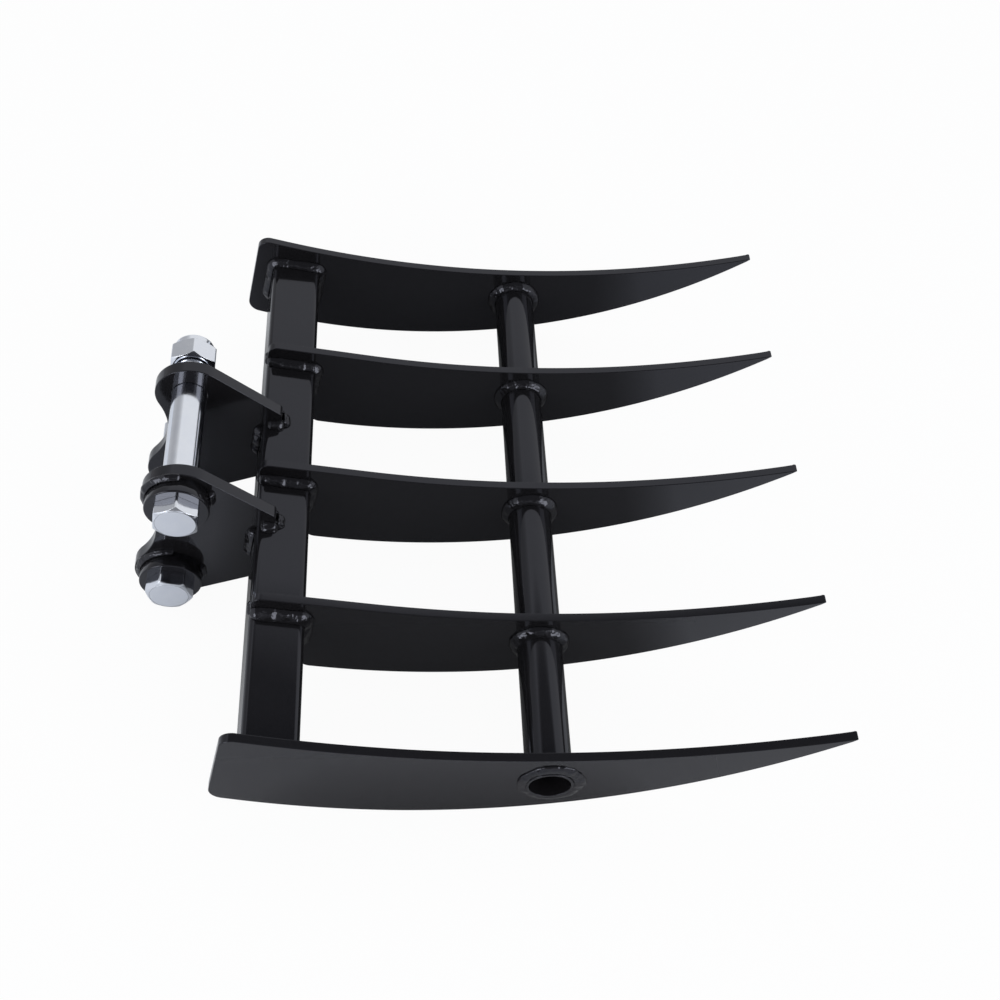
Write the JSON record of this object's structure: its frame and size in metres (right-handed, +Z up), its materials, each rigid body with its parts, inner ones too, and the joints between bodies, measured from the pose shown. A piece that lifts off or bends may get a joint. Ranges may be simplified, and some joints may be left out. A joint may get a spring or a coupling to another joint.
{
  "type": "excavator rake",
  "caption": "Rake for a small excavator: curved pointed tine plates on a square crossbar, tied by a round pipe, with two hitch ears and bolted pins.",
  "frame": {"origin": "middle of the whole rake's footprint, on the ground it stands on", "axes": "+X from the hitch towards the tine tips, +Y along the crossbar to the left end, +Z up"},
  "size_m": [0.4866, 0.4632, 0.1403],
  "materials": {
    "black_coat": "gloss",
    "bright_zinc": "satin"
  },
  "bodies": {
    "root": {"boss_lower": "black_coat", "boss_upper": "black_coat", "brace_pipe": "black_coat", "crossbar_tube": "black_coat", "hitch_ear_left": "black_coat", "hitch_ear_right": "black_coat", "hitch_pin_lower": "bright_zinc", "hitch_pin_upper": "bright_zinc", "nut_lower": "bright_zinc", "nut_upper": "bright_zinc", "tine_left_end": "black_coat", "tine_left_inner": "black_coat", "tine_middle": "black_coat", "tine_right_end": "black_coat", "tine_right_inner": "black_coat", "weld_boss_lower": "black_coat", "weld_boss_upper": "black_coat", "weld_ear_left": "black_coat", "weld_ear_right": "black_coat", "weld_tines_to_crossbar": "black_coat", "weld_tines_to_pipe": "black_coat"}
  },
  "joints": []
}
